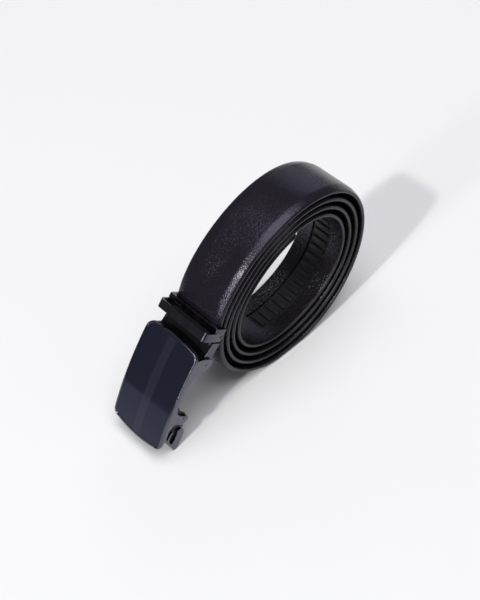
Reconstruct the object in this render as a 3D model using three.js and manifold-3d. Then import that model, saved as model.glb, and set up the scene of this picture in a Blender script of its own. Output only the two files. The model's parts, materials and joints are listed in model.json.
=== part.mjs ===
// Ratchet belt wound in a standing coil, with its buckle leaning on the table.
// Millimetres, +Z up. X runs along the coil, Y across the strap's width.
import * as THREE from 'three';
import { mergeVertices } from 'three/addons/utils/BufferGeometryUtils.js';
import Module from 'manifold-3d';

const wasm = await Module();
wasm.setup();

// Strap
const STRAP_W = 34;          // width
const STRAP_T = 3.5;         // thickness
const STRAP_CHAMFER = 0.8;   // softened long edges
const STRAP_STEPS = 212;     // straight pieces along the length
const TURNS = 4.24;          // from the clamp's side round to the tail's tip
const START_ANGLE = 175;     // degrees, where turn 0 lies
const SPIRAL_FROM = 0.06;    // turn where the strap joins the spiral
const DRIFT = 0.6;           // sideways step of each turn
const TIP_CUT = 8;           // cut corners of the tail's tip
const COIL_X = 27.5;         // centre of the coil
const COIL_Z = 59.7;

// Spiral radius: steady part in turns, then harmonics [cos, sin, turn*cos, turn*sin]
const RADIUS = [62.75, -5.64, 0.02];
const HARMONICS = [
  [-2.04, -0.69, 0.26, -0.11],
  [-0.03, 2.0, 0.44, 0.22],
  [-0.91, -0.07, 0.17, -0.14],
];

// Toothed track let into the tail's inner face
const TRACK_W = 13.2;
const TRACK_FROM = 2.9;      // turn of its first tooth
const TRACK_TO = 3.79;       // turn of its last tooth
const TOOTH_PITCH = 6;
const GROOVE_W = 14.2;
const GROOVE_FLOOR = 0.55;   // above the strap's middle layer

// Buckle frame, lengths run from the hinge to the free end
const FRAME_W = 39.6;
const WALL = 1.4;
const PLATE_T = 2;
const ARCH_TOP = 16.7;       // height of the arched face over the hinge
const ARCH_MID = 42;
const ARCH_R = 205;
const HINGE_END = -10;       // end of the face at its middle
const FREE_END = 57.8;
const HINGE_BOW = 1.9;       // how far the corners sit behind each end's middle
const FREE_BOW = 1.6;
const CORNER_R = 3.6;
const BEZEL = 1.5;
const INLAY_T = 1;
const STRIPE_W = 5.8;
const FRAME_TILT = -65.2;    // degrees about Y
const CLAMP_TILT = -51.5;
const HINGE_X = COIL_X - 75.5;
const PIN_R = 1;
const PIN_GAP = 0.15;

// Clamp and keeper loop, lengths run from the hinge toward the coil
const STRAP_N = 1.3;         // strap's middle over the hinge line
const JAW_FROM = 12.2;
const JAW_TO = 23.3;
const JAW_T = 0.9;
const LIP_HIGH = 6.1;
const LOOP_FROM = 14.9;
const LOOP_TO = 20.1;
const LOOP_LOW = -3;
const LOOP_HIGH = 12.8;
const LOOP_W = 37.6;
const LOOP_T = 1.2;
const LOOP_R = 2.4;

// Release lever, on its own pin in the frame's ears
const LEVER_PIN = [36.7, 3.1];
const TIP = [59.8, -0.9];
const TIP_R = 0.8;
const PAWL_HALF = FRAME_W / 2 - WALL - 0.45;

const rad = THREE.MathUtils.degToRad;
const HINGE_Z = TIP_R - TIP[0] * Math.sin(rad(FRAME_TILT)) - TIP[1] * Math.cos(rad(FRAME_TILT));

const material = (color, roughness, metalness) =>
  new THREE.MeshStandardMaterial({ color, roughness, metalness });
const leather = material(0x232026, 0.5, 0);
const trackRubber = material(0x1b1c20, 0.6, 0);
const gunmetal = material(0x5a5a64, 0.3, 1);
const darkMetal = material(0x33323c, 0.35, 1);
const blackSteel = material(0x141518, 0.45, 1);
const inlayLacquer = material(0x1b1f2c, 0.2, 0.3);
const stripeLacquer = material(0x2c2c38, 0.3, 0.3);

function toSolid(geometry) {
  const g = geometry.clone();
  g.deleteAttribute('normal');
  g.deleteAttribute('uv');
  const m = mergeVertices(g, 1e-4);
  return new wasm.Manifold(new wasm.Mesh({
    numProp: 3,
    vertProperties: new Float32Array(m.attributes.position.array),
    triVerts: new Uint32Array(m.index.array),
  }));
}

function toGeometry(solid) {
  const m = solid.getMesh();
  const g = new THREE.BufferGeometry();
  g.setAttribute('position', new THREE.BufferAttribute(new Float32Array(m.vertProperties), 3));
  g.setIndex(new THREE.BufferAttribute(new Uint32Array(m.triVerts), 1));
  g.computeVertexNormals();
  return g;
}

function outline(points) {
  return new THREE.Shape(points.map(([x, y]) => new THREE.Vector2(x, y)));
}

// Side profile in X and Z, drawn out along Y from y0 to y1
function slab(points, y0, y1) {
  const g = new THREE.ExtrudeGeometry(outline(points), { depth: y1 - y0, bevelEnabled: false });
  g.rotateX(Math.PI / 2);
  g.translate(0, y1, 0);
  return toSolid(g);
}

// Plan outline in X and Y, drawn out along Z from z0 to z1
function tower(points, z0, z1) {
  const g = new THREE.ExtrudeGeometry(outline(points), { depth: z1 - z0, bevelEnabled: false });
  g.translate(0, 0, z0);
  return toSolid(g);
}

function block(x0, x1, y0, y1, z0, z1) {
  const g = new THREE.BoxGeometry(x1 - x0, y1 - y0, z1 - z0);
  g.translate((x0 + x1) / 2, (y0 + y1) / 2, (z0 + z1) / 2);
  return toSolid(g);
}

// Round bar along Y
function bar(radius, x, z, half) {
  const g = new THREE.CylinderGeometry(radius, radius, half * 2, 20);
  g.translate(x, 0, z);
  return toSolid(g);
}

// Middle of the strap's thickness at a turn of the spiral
function spiralPoint(turn) {
  const q = rad(START_ANGLE - 360 * turn);
  let r = RADIUS[0] + RADIUS[1] * turn + RADIUS[2] * turn * turn;
  HARMONICS.forEach(([c, s, tc, ts], i) => {
    r += (c + tc * turn) * Math.cos((i + 1) * q) + (s + ts * turn) * Math.sin((i + 1) * q);
  });
  return new THREE.Vector3(
    COIL_X + r * Math.cos(q),
    DRIFT * turn,
    Math.max(STRAP_T / 2 - 0.08, COIL_Z + r * Math.sin(q)),
  );
}

function clampPoint(along, out) {
  const a = rad(CLAMP_TILT);
  return new THREE.Vector3(
    HINGE_X + along * Math.cos(a) + out * Math.sin(a), 0,
    HINGE_Z - along * Math.sin(a) + out * Math.cos(a),
  );
}

// Points along the strap from the clamp to the tail's tip
function strapPoints(from, to, step) {
  const points = [];
  for (let t = from; t < to - step / 2; t += step) points.push(spiralPoint(t));
  points.push(spiralPoint(to));
  return points;
}

function leadIn() {
  const a = clampPoint(JAW_FROM + 1.2, STRAP_N);
  const b = clampPoint(JAW_TO + 1, STRAP_N);
  const end = spiralPoint(SPIRAL_FROM);
  const ahead = spiralPoint(SPIRAL_FROM + 0.001).sub(end).normalize();
  const pull = b.distanceTo(end) / 3;
  const back = end.clone().addScaledVector(ahead, -pull);
  const out = b.clone().addScaledVector(b.clone().sub(a).normalize(), pull);
  const bend = new THREE.CubicBezierCurve3(b, out, back, end);
  const points = [];
  for (let i = 0; i < 8; i++) points.push(a.clone().lerp(b, i / 8));
  for (let i = 0; i < 8; i++) points.push(bend.getPoint(i / 8));
  return points;
}

function path(points) {
  const curve = new THREE.CatmullRomCurve3(points);
  curve.arcLengthDivisions = points.length * 3;
  return curve;
}

// Section x lies across the strap, section y points to the coil's middle
function sweep(section, curve, steps) {
  return new THREE.ExtrudeGeometry(outline(section), { steps, extrudePath: curve, bevelEnabled: false });
}

function rectangle(x0, x1, y0, y1) {
  return [[x0, y0], [x1, y0], [x1, y1], [x0, y1]];
}

function strap() {
  const w = STRAP_W / 2;
  const t = STRAP_T / 2;
  const c = STRAP_CHAMFER;
  const section = [
    [-w + c, -t], [w - c, -t], [w, -t + c], [w, t - c],
    [w - c, t], [-w + c, t], [-w, t - c], [-w, -t + c],
  ];
  const whole = path([...leadIn(), ...strapPoints(SPIRAL_FROM, TURNS, 0.01)]);
  const body = toSolid(sweep(section, whole, STRAP_STEPS));
  const grooved = path(strapPoints(TRACK_FROM - 0.006, TRACK_TO + 0.006, 0.01));
  const groove = toSolid(sweep(rectangle(-GROOVE_W / 2, GROOVE_W / 2, GROOVE_FLOOR, 2.6), grooved, 46));
  let solid = body.subtract(groove);
  const tip = spiralPoint(TURNS);
  const ahead = tip.clone().sub(spiralPoint(TURNS - 0.004)).normalize();
  const across = new THREE.Vector3(0, 1, 0);
  const normal = new THREE.Vector3().crossVectors(ahead, across).normalize();
  for (const side of [-1, 1]) {
    const g = new THREE.ExtrudeGeometry(
      outline([[-TIP_CUT, side * w], [0, side * (w - TIP_CUT)], [4, side * (w - TIP_CUT)],
        [4, side * (w + 4)], [-TIP_CUT, side * (w + 4)]]),
      { depth: 8, bevelEnabled: false });
    g.translate(0, 0, -4);
    g.applyMatrix4(new THREE.Matrix4().makeBasis(ahead, across, normal).setPosition(tip));
    solid = solid.subtract(toSolid(g));
  }
  return toGeometry(solid.trimByPlane([0, 0, 1], 0));
}

// Offset point on the tail's inner side
function trackPoint(turn, out) {
  const p = spiralPoint(turn);
  const ahead = spiralPoint(turn + 0.001).sub(spiralPoint(turn - 0.001)).normalize();
  return [p.x + out * ahead.z, p.z - out * ahead.x];
}

function ratchetTrack() {
  const length = path(strapPoints(TRACK_FROM, TRACK_TO, 0.01)).getLength();
  const teeth = Math.floor(length / TOOTH_PITCH);
  const turnAt = (k) => TRACK_FROM + ((TRACK_TO - TRACK_FROM) * k) / teeth;
  const inner = [];
  const outer = [];
  for (let k = 0; k < teeth; k++) {
    outer.push(trackPoint(turnAt(k), 0.75));
    inner.push(trackPoint(turnAt(k + 0.1), 1.1), trackPoint(turnAt(k + 0.55), 1.1));
    inner.push(trackPoint(turnAt(k + 0.62), 1.7), trackPoint(turnAt(k + 0.98), 1.5));
  }
  outer.push(trackPoint(turnAt(teeth), 0.75));
  const middle = DRIFT * (TRACK_FROM + TRACK_TO) / 2;
  return toGeometry(slab([...outer, ...inner.reverse()], middle - TRACK_W / 2, middle + TRACK_W / 2));
}

// Height of the arched face at a length from the hinge
function arch(u, below = 0) {
  const r = ARCH_R - below;
  return ARCH_TOP - ARCH_R + Math.sqrt(r * r - (u - ARCH_MID) ** 2);
}

function archLine(u0, u1, below, count) {
  const points = [];
  for (let i = 0; i <= count; i++) {
    const u = u0 + ((u1 - u0) * i) / count;
    points.push([u, arch(u, below)]);
  }
  return points;
}

// Lengths point away from the coil, so X is their negative
const turned = (points) => points.map(([u, w]) => [-u, w]);

// Rounded plate outline with bowed ends, shrunk all round by inset
function faceOutline(inset) {
  const half = FRAME_W / 2 - inset;
  const r = CORNER_R - inset * 0.6;
  const ends = [[HINGE_END + inset, 1, HINGE_BOW], [FREE_END - inset, -1, FREE_BOW]];
  const points = [];
  for (const [end, dir, behind] of ends) {
    const corner = end + dir * behind;
    const chord = half - r * 0.75;
    const side = [];
    for (let i = 0; i <= 3; i++) {
      const a = (Math.PI / 2) * (i / 3);
      side.push([corner + dir * r * (1 - Math.sin(a)), half - r * (1 - Math.cos(a))]);
    }
    const bow = [];
    for (let i = 1; i < 8; i++) {
      const y = chord * (1 - (2 * i) / 8);
      bow.push([end + dir * behind * (y / half) ** 2, y]);
    }
    const run = [...side, ...bow, ...side.map(([u, y]) => [u, -y]).reverse()];
    points.push(...(dir > 0 ? run : run.reverse()));
  }
  return points;
}

function faceTower(inset) {
  return tower(turned(faceOutline(inset)), -20, 40);
}

function buckleFrame() {
  const half = FRAME_W / 2;
  const side = [
    ...archLine(HINGE_END - 2, FREE_END + 2, 0, 24),
    ...archLine(FREE_END + 2, 51, PLATE_T, 3),
    [49.5, 13], [44.6, 13], [41, 11.8], [39.4, 9.4], [40.4, 6.1], [41.6, 3],
    [40, 0.8], [37.6, -0.2], [35, 0.6], [33.2, 3.4], [31, 8], [28.6, 11.2],
    [25.5, 12], [21.8, 11.6], [14.7, 10.2], [9.8, 8], [6.2, 4.4], [3.8, 0],
    [3, -2.4], [1.6, -4.2], [-0.6, -4.8], [-2.6, -3.8], [-3.6, -1.6], [-4.4, 1.6], [-5.2, 5], [-6.2, 8.2],
    ...archLine(-6.6, HINGE_END - 2, PLATE_T, 2),
  ];
  let solid = slab(turned(side), -half, half);
  solid = solid.intersect(faceTower(0));
  const inside = [...archLine(HINGE_END - 4, FREE_END + 4, PLATE_T, 24), [FREE_END + 4, -20], [HINGE_END - 4, -20]];
  solid = solid.subtract(slab(turned(inside), -half + WALL, half - WALL));
  const pocket = [...archLine(HINGE_END - 4, FREE_END + 4, INLAY_T, 24), [FREE_END + 4, 40], [HINGE_END - 4, 40]];
  solid = solid.subtract(slab(turned(pocket), -half, half).intersect(faceTower(BEZEL)));
  solid = solid.subtract(bar(PIN_R + PIN_GAP, 0, 0, 30));
  solid = solid.subtract(bar(PIN_R + PIN_GAP, -LEVER_PIN[0], LEVER_PIN[1], 30));
  return toGeometry(solid);
}

function faceInlay() {
  const band = [
    ...archLine(HINGE_END - 4, FREE_END + 4, 0.25, 24),
    ...archLine(FREE_END + 4, HINGE_END - 4, INLAY_T - 0.1, 24),
  ];
  const solid = slab(turned(band), -18, 18).intersect(faceTower(BEZEL + 0.12));
  const slot = [
    ...archLine(HINGE_END - 4, FREE_END + 4, 0.6, 24), [FREE_END + 4, 40], [HINGE_END - 4, 40],
  ];
  return toGeometry(solid.subtract(slab(turned(slot), -STRIPE_W / 2 - 0.1, STRIPE_W / 2 + 0.1)));
}

function faceStripe() {
  const band = [
    ...archLine(HINGE_END - 4, FREE_END + 4, 0.2, 24),
    ...archLine(FREE_END + 4, HINGE_END - 4, 0.52, 24),
  ];
  return toGeometry(slab(turned(band), -STRIPE_W / 2, STRIPE_W / 2).intersect(faceTower(BEZEL + 0.12)));
}

function pin(at, half) {
  return toGeometry(bar(PIN_R, -at[0], at[1], half));
}

// Curved tab with two side cheeks, as wide as the frame
function releaseLever() {
  const half = FRAME_W / 2 - 0.3;
  const cheek = PAWL_HALF + 0.25;
  const tip = [];
  for (let i = 0; i <= 5; i++) {
    const a = rad(20 - i * 34);
    tip.push([TIP[0] + TIP_R * Math.cos(a), TIP[1] + TIP_R * Math.sin(a)]);
  }
  const profile = [
    [45.2, 9.6], [49.8, 11], [52.6, 10.4], [54.9, 8.8], [56.9, 6], [58.9, 2.4],
    ...tip, [57.6, -1.3], [54.6, -1.1], [50, -1.8], [46.4, -0.4], [44.6, 2],
  ];
  const hollow = [
    [30, 8.6], [45.4, 8.3], [49.6, 9.5], [52, 9.1], [53.9, 7.9], [55.6, 5.4], [57.5, 1.6], [56.5, -6], [30, -6],
  ];
  const solid = slab(turned(profile), -half, half);
  return toGeometry(solid.subtract(slab(turned(hollow), -cheek, cheek)));
}

// Rocker with the edge that drops into the track
function pawlPlate() {
  const half = PAWL_HALF;
  const [pu, pw] = LEVER_PIN;
  const profile = [
    [28.4, 9.9], [29.3, 10.5], [33.6, 8], [37.4, 6.6], [44, 7.9], [44.9, 7.2],
    [44.2, 2.2], [46, -0.8], [44.8, -1], [42.6, 0.8], [39.4, 0.9], [pu + 0.6, pw - 2.5], [pu - 1.9, pw - 1.8],
    [pu - 2.7, pw + 0.3], [32.2, 6],
  ];
  const hollow = [
    [33.4, 7.2], [34.6, 4.6], [34.6, -6], [50, -6], [50, 5.4], [44, 6.2], [37.2, 5.2],
  ];
  let solid = slab(turned(profile), -half, half);
  solid = solid.subtract(slab(turned(hollow), -half + 1.3, half - 1.3));
  solid = solid.subtract(bar(PIN_R + PIN_GAP, -pu, pw, 30));
  return toGeometry(solid);
}

function clamp() {
  const inner = STRAP_W / 2 + 0.2;
  const outer = inner + 1.2;
  const edge = FRAME_W / 2 - WALL - 0.45;
  const low = STRAP_N - STRAP_T / 2 - 0.2;
  const high = STRAP_N + STRAP_T / 2 + 0.2;
  let solid = block(JAW_FROM, JAW_TO, -inner, inner, low - JAW_T, high + JAW_T);
  solid = solid.add(block(LOOP_TO + 0.3, JAW_TO, -outer, outer, low - JAW_T, LIP_HIGH));
  solid = solid.add(block(JAW_FROM, JAW_FROM + 1, -edge, edge, low - JAW_T, high + JAW_T));
  solid = solid.subtract(block(JAW_FROM + 1, JAW_TO + 2, -inner, inner, low, high));
  const cheek = [
    [JAW_FROM + 0.9, 1.2], [6, 2.3], [2.2, 3.4], [0, 3.7], [-2.6, 2.6], [-3.7, 0], [-2.6, -2.6],
    [0, -3.9], [6, -4.4], [JAW_FROM + 0.9, -5.2],
  ];
  for (const side of [-1, 1]) {
    const y = [side * edge, side * (edge - 1.3)].sort((a, b) => a - b);
    solid = solid.add(slab(cheek, y[0], y[1]));
  }
  const web = [[JAW_FROM + 0.4, 1.1], [4.4, 2.6], [4.4, 1.5], [JAW_FROM + 0.4, -0.1]];
  solid = solid.add(slab(web, -edge + 0.5, edge - 0.5));
  return toGeometry(solid.subtract(bar(PIN_R + PIN_GAP, 0, 0, 30)));
}

// Rectangle in Y and Z with rounded corners
function rounded(y, z0, z1, r) {
  const points = [];
  const corners = [[y - r, z0 + r, -90], [y - r, z1 - r, 0], [-y + r, z1 - r, 90], [-y + r, z0 + r, 180]];
  for (const [cy, cz, from] of corners) {
    for (let i = 0; i <= 4; i++) {
      const a = rad(from + (90 * i) / 4);
      points.push([cy + r * Math.cos(a), cz + r * Math.sin(a)]);
    }
  }
  return points;
}

// Y and Z outline drawn out along X from x0 to x1
function run(points, x0, x1) {
  const g = new THREE.ExtrudeGeometry(outline(points), { depth: x1 - x0, bevelEnabled: false });
  g.applyMatrix4(new THREE.Matrix4().makeBasis(
    new THREE.Vector3(0, 1, 0), new THREE.Vector3(0, 0, 1), new THREE.Vector3(1, 0, 0)));
  g.translate(x0, 0, 0);
  return toSolid(g);
}

function keeperLoop() {
  const y = LOOP_W / 2;
  const t = LOOP_T;
  const solid = run(rounded(y, LOOP_LOW, LOOP_HIGH, LOOP_R), LOOP_FROM, LOOP_TO);
  return toGeometry(solid.subtract(
    run(rounded(y - t, LOOP_LOW + t, LOOP_HIGH - t, 0.5), LOOP_FROM - 1, LOOP_TO + 1)));
}

function piece(name, geometry, mat) {
  const mesh = new THREE.Mesh(geometry, mat);
  mesh.name = name;
  return mesh;
}

function placed(name, tilt, ...children) {
  const group = new THREE.Group();
  group.name = name;
  group.position.set(HINGE_X, 0, HINGE_Z);
  group.rotation.y = rad(tilt);
  group.add(...children);
  return group;
}

const group = new THREE.Group();
group.name = 'embossed_belt';
group.add(
  piece('strap', strap(), leather),
  piece('ratchet_track', ratchetTrack(), trackRubber),
  placed('clamp_group', CLAMP_TILT,
    piece('clamp', clamp(), darkMetal),
    piece('keeper_loop', keeperLoop(), darkMetal),
    piece('hinge_pin', pin([0, 0], FRAME_W / 2 - 0.1), gunmetal)),
  placed('buckle_group', FRAME_TILT,
    piece('buckle_frame', buckleFrame(), gunmetal),
    piece('face_inlay', faceInlay(), inlayLacquer),
    piece('face_stripe', faceStripe(), stripeLacquer),
    piece('lever_pin', pin(LEVER_PIN, FRAME_W / 2 - 0.1), gunmetal),
    piece('release_lever', releaseLever(), gunmetal),
    piece('pawl_plate', pawlPlate(), blackSteel)),
);

export default group;
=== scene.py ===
# Ratchet belt in a standing coil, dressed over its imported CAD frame.
# Every piece is modelled in millimetres and brought to metres when it is finished.
import json
import math

import bmesh
import bpy
from bpy.props import FloatProperty, FloatVectorProperty, IntProperty, PointerProperty, StringProperty
from mathutils import Matrix, Vector


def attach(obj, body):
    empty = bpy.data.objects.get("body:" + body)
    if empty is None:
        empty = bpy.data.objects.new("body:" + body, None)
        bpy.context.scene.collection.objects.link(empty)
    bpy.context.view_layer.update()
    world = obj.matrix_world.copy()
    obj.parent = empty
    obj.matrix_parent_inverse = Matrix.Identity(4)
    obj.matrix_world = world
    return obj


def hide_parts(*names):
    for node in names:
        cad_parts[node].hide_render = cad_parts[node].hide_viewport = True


bl_info = {
    "name": "Coiled Ratchet Belt",
    "version": (1, 0, 0),
    "blender": (4, 5, 0),
    "location": "3D View > Sidebar > Belt",
    "description": "Builds a coiled pebbled leather belt with a plate buckle, and its studio stage",
    "category": "Add Mesh",
}

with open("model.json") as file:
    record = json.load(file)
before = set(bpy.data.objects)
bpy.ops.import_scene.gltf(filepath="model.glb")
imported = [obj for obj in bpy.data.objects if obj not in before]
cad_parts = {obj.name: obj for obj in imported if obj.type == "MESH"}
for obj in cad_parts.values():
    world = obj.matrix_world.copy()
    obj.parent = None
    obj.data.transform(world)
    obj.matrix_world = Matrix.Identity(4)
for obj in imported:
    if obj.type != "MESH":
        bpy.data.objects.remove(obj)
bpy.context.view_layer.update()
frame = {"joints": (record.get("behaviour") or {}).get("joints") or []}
MM = 0.001

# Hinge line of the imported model. The buckle and the clamp are modelled lying flat with the hinge at the
# origin: the buckle runs to -X, the clamp and the strap run to +X, and their outer faces look to +Z
hinge = next(joint for joint in frame["joints"] if joint["name"] == "buckle_hinge")
HINGE_X, _, HINGE_Z = [c / MM for c in hinge["pos_m"]]

# Tilt of the buckle and of the clamp about the hinge line, in degrees
BUCKLE_TILT = -65.2
CLAMP_TILT = -51.5

# Coil: angle of turn 0 in degrees, centre, sideways step of a turn, turns where it starts and ends
START_ANGLE = 175
COIL_CENTRE = (HINGE_X + 75.5, 59.7)
DRIFT = 0.9
SPIRAL_FROM = 0.06
TURNS = 4.27
TURN_STEP = 0.004

# Radius of the coil: at turn 0, what a turn adds, what a turn squared adds
RADIUS = (62.75, -5.64, 0.02)

# Swell of the radius, a row for each harmonic: cosine, sine, and what a turn adds to each
HARMONICS = (
    (-2.04, -0.69, 0.26, -0.11),
    (-0.03, 2.0, 0.44, 0.22),
    (-0.91, -0.07, 0.17, -0.14),
)

# Least height of the strap's middle layer, where the coil stands on the floor
STANDS_AT = 1.67

# Strap in the jaw: where it starts, where it is free to bend, how far it lies out from the hinge, and how
# many degrees its way out is turned by the spring of the leather
STRAP_FROM = 13.4
STRAP_FREE_FROM = 23.2
STRAP_OUT = 1.3
EXIT_LIFT = -22

# Feathered outer face of the strap: distance in from the edge, and how far the face has fallen there
FEATHERING = (
    (5.6, 0.0),
    (5.0, 0.04),
    (4.4, 0.13),
    (3.8, 0.27),
    (3.0, 0.49),
    (2.2, 0.73),
    (1.5, 0.95),
    (0.9, 1.18),
    (0.45, 1.46),
)

# Painted edge of the strap: distance in, and height over the middle layer. The notch is the seam of the
# outer leather with the lining
PAINTED_EDGE = (
    (0.12, -0.02),
    (0.0, -0.28),
    (0.15, -0.4),
    (0.15, -0.5),
    (0.0, -0.62),
    (0.0, -1.1),
    (0.12, -1.38),
    (0.42, -1.62),
)

# Half widths and lengths of the strap: how far in the paint and the lining's turn reach, the strip along the
# middle, and the cut corners of the tip
PAINT_REACH = 0.95
LINING_TURN = 3.0
MIDDLE_STRIP = 3.0
TIP_CUT = 8.0

# Where the leather is flexed most when worn and its grain stands open: place and reach in the flat strap
FLEXED_AT = (46, 3, 0)
FLEXED_SIZE = (16, 8, 8)

# Ribbed track in the tail: turns where it starts and ends, the size and the place of its base, its ribs, and
# the groove that holds it
TRACK_FROM = 2.9
TRACK_TO = 3.79
TRACK_WIDTH = 13.2
TRACK_BASE = 0.18
TRACK_BASE_OUT = -0.66
TRACK_CORNER = 1.5
BEND_STEP = 2
RIB_PITCH = 6
RIB_HALF = 5.2
RIB_ROUNDING = 0.12
GROOVE_HALF = 7.1
GROOVE_DEPTH = 1.2
GROOVE_PAST_TRACK = 1.0

# Side profile of one rib: along its pitch, and out from the strap's middle layer
RIB = (
    (1.2, -0.7),
    (1.5, -1.3),
    (1.9, -1.68),
    (2.3, -1.73),
    (4.1, -1.73),
    (4.5, -1.6),
    (4.7, -1.2),
    (4.8, -0.7),
)

# Jaw of the clamp: along from the hinge, wall, half of the gap inside, lip that stands up, half width, and
# the blocks at its ends
JAW_FROM = 12.2
JAW_TO = 23.3
JAW_WALL = 0.9
JAW_GAP = 1.95
LIP_FROM = 20.4
LIP_TOP = 5.6
JAW_HALF = 17.2
END_BLOCK_TO = 19.2
END_BLOCK_LOW = -2.2
END_BLOCK_CORNER = 0.9

# Sheet of the clamp's cheeks and of the pawl, its room beside the buckle's walls, and the knuckle's radii
SHEET = 1.3
SHEET_ROOM = 0.45
KNUCKLE_OUTSIDE = 2.5
KNUCKLE_INSIDE = 1.5

# Keeper loop: along from the hinge, breadth and wall of its band, half width, lowest and highest, corners,
# and its rivets (each a radius and a length for the black ring of painted shade round the head, and for the
# head)
LOOP_FROM = 14.9
LOOP_BREADTH = 5.2
LOOP_WALL = 1.2
LOOP_HALF = 18.8
LOOP_LOW = -3.45
LOOP_HIGH = 12.8
LOOP_UPPER_CORNER = 2.4
LOOP_LOWER_CORNER = 1.4
LOOP_ROUNDING = 0.25
RIVET_AT = (17.7, -1.75)
RIVET_SHADE_RING = (1.35, 0.12)
RIVET_HEAD = (1.0, 0.5)

# Ends of the plate, at the hinge and free: length at the middle, and how far the corners sit behind it
PLATE_ENDS = ((-10, 2.2), (59.2, 3.2))
PLATE_WIDTH = 39.6
PLATE_THICK = 2.0
PLATE_CORNER = 4.8
POCKET_DEPTH = 0.9
WALL = 1.4

# Arch of the plate: height of its crown over the hinge, how far along that lies, and radius
ARCH = (16.7, 42, 205)

# Lacquer in the pocket: room to the rim, and how far its top and its underside lie below the arch
FIELD_LIES = (0.06, 0.22, 0.88)
STRIPE_LIES = (0.12, 0.19, 0.5)

# Pins: place of the lever's pin, radius, how far the heads stand out, and the rise of their domes
LEVER_PIN = (36.7, 3.1)
PIN_RADIUS = 1.0
PIN_OUT = 0.12
PIN_DOME = 0.06

# Tip of the release tab, and how far the tab and its lobes stand in from the plate's sides
TAB_TIP = (59.5, 1.4)
TAB_TIP_RADIUS = 1.9
TAB_IN = 0.3
LOBE_SHEET = 1.6

# Faces that would share a plane are set this far apart
CLEAR = 0.04

# Line where the floor ends beyond the buckle, in metres: a point and the way it runs. The lacquered plate
# mirrors this edge, so its lower part shows the pale floor and its upper part the dim room
FLOOR_EDGE_AT = (-0.245, 0.09, 0)
FLOOR_EDGE_ALONG = (0.64, 0.77, 0)
FILM_WIDTH = 36


# Settings
class BeltStrapSettings(bpy.types.PropertyGroup):
    """Sizes and colours of the strap and of its track"""
    width: FloatProperty(name="Width", description="Width of the strap, in millimetres",
                         default=34.0, min=20, max=50)
    thickness: FloatProperty(name="Thickness", description="Thickness of the strap, in millimetres",
                             default=3.5, min=2, max=6)
    feather: FloatProperty(name="Feathering", description="How far the outer face falls toward its edges",
                           default=1.0, min=0, max=1.1)
    rings: IntProperty(name="Rings", description="Cross sections along the strap",
                       default=700, min=200, max=1500)
    grain: FloatProperty(name="Grain", description="Width of one pebble of the grain, in millimetres",
                         default=1.35, min=0.3, max=5)
    color: StringProperty(name="Leather colour", description="Colour of the leather, sRGB hex",
                          default="#19161D")
    lining_color: StringProperty(name="Lining colour", description="Colour of the lining, sRGB hex",
                                 default="#131116")
    edge_color: StringProperty(name="Edge colour", description="Colour of the edge paint, sRGB hex",
                               default="#100F14")
    track_color: StringProperty(name="Track colour", description="Colour of the ribbed track, sRGB hex",
                                default="#15161A")


class BeltBuckleSettings(bpy.types.PropertyGroup):
    """Sizes and colours of the buckle, the clamp and the loop"""
    rim: FloatProperty(name="Rim", description="Width of the plate's rim, in millimetres",
                       default=1.5, min=0.5, max=4)
    brow: FloatProperty(name="Rounding", description="Rounding of the rim's outer edge, in millimetres",
                        default=0.75, min=0.2, max=1.2)
    stripe: FloatProperty(name="Stripe", description="Width of the middle stripe, in millimetres",
                          default=5.8, min=1, max=20)
    bevel: FloatProperty(name="Edge break", description="Rounding of the metal's edges, in millimetres",
                         default=0.22, min=0.05, max=0.6)
    metal: StringProperty(name="Metal colour", description="Colour of the gunmetal plating, sRGB hex",
                          default="#5A5A64")
    clamp_metal: StringProperty(name="Clamp colour", description="Colour of the black nickel, sRGB hex",
                                default="#4A4A52")
    # Black steel of the pawl; the same colour is painted shade in the clamp's web, the tab's hollow and round
    # the rivets
    steel: StringProperty(name="Steel colour", description="Colour of the black steel, sRGB hex",
                          default="#0B0A0E")
    field: StringProperty(name="Field colour", description="Colour of the lacquered field, sRGB hex",
                          default="#191B25")
    stripe_color: StringProperty(name="Stripe colour", description="Colour of the stripe, sRGB hex",
                                 default="#22242F")


class BeltStageSettings(bpy.types.PropertyGroup):
    """Floor and camera"""
    floor_size: FloatProperty(name="Floor", description="Side of the floor", default=6.0, unit="LENGTH")
    floor_color: StringProperty(name="Floor colour", description="Colour of the floor, sRGB hex",
                                default="#F0F0F0")
    focal: FloatProperty(name="Focal length", description="Camera lens, in millimetres",
                         default=66.0, unit="CAMERA")
    camera_at: FloatVectorProperty(name="Camera", description="Place of the camera", size=3, unit="LENGTH",
                                   default=(-0.2909, -0.2915, 0.5357))
    azimuth: FloatProperty(name="Azimuth", description="Angle of the view round the object",
                           subtype="ANGLE", default=math.radians(-44.67))
    elevation: FloatProperty(name="Elevation", description="Angle of the view above the floor",
                             subtype="ANGLE", default=math.radians(49.42))


# Materials
def linear(hex_color):
    """sRGB hex colour as linear RGBA."""
    code = hex_color.lstrip("#")
    parts = [int(code[i:i + 2], 16) / 255 for i in (0, 2, 4)]
    return [c / 12.92 if c <= 0.04045 else ((c + 0.055) / 1.055) ** 2.4 for c in parts] + [1.0]


def add(tree, kind, settings=None, **links):
    """Adds a node, sets its properties and sockets, and links what is given as a socket."""
    node = tree.nodes.new("ShaderNode" + kind)
    for key, value in (settings or {}).items():
        if isinstance(key, str) and hasattr(node, key) and key not in node.inputs:
            setattr(node, key, value)
        else:
            node.inputs[key].default_value = value
    for key, source in links.items():
        by_number = key[0] == "i" and key[1:].isdigit()
        target = node.inputs[int(key[1:]) if by_number else key.replace("_", " ")]
        tree.links.new(source, target)
    return node


def new_material(name, settings):
    """Material with one Principled shader; returns it with its tree and shader."""
    material = bpy.data.materials.new(name)
    material.use_nodes = True
    tree = material.node_tree
    shader = tree.nodes["Principled BSDF"]
    for key, value in settings.items():
        shader.inputs[key].default_value = value
    material.diffuse_color = shader.inputs["Base Color"].default_value
    return material, tree, shader


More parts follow.
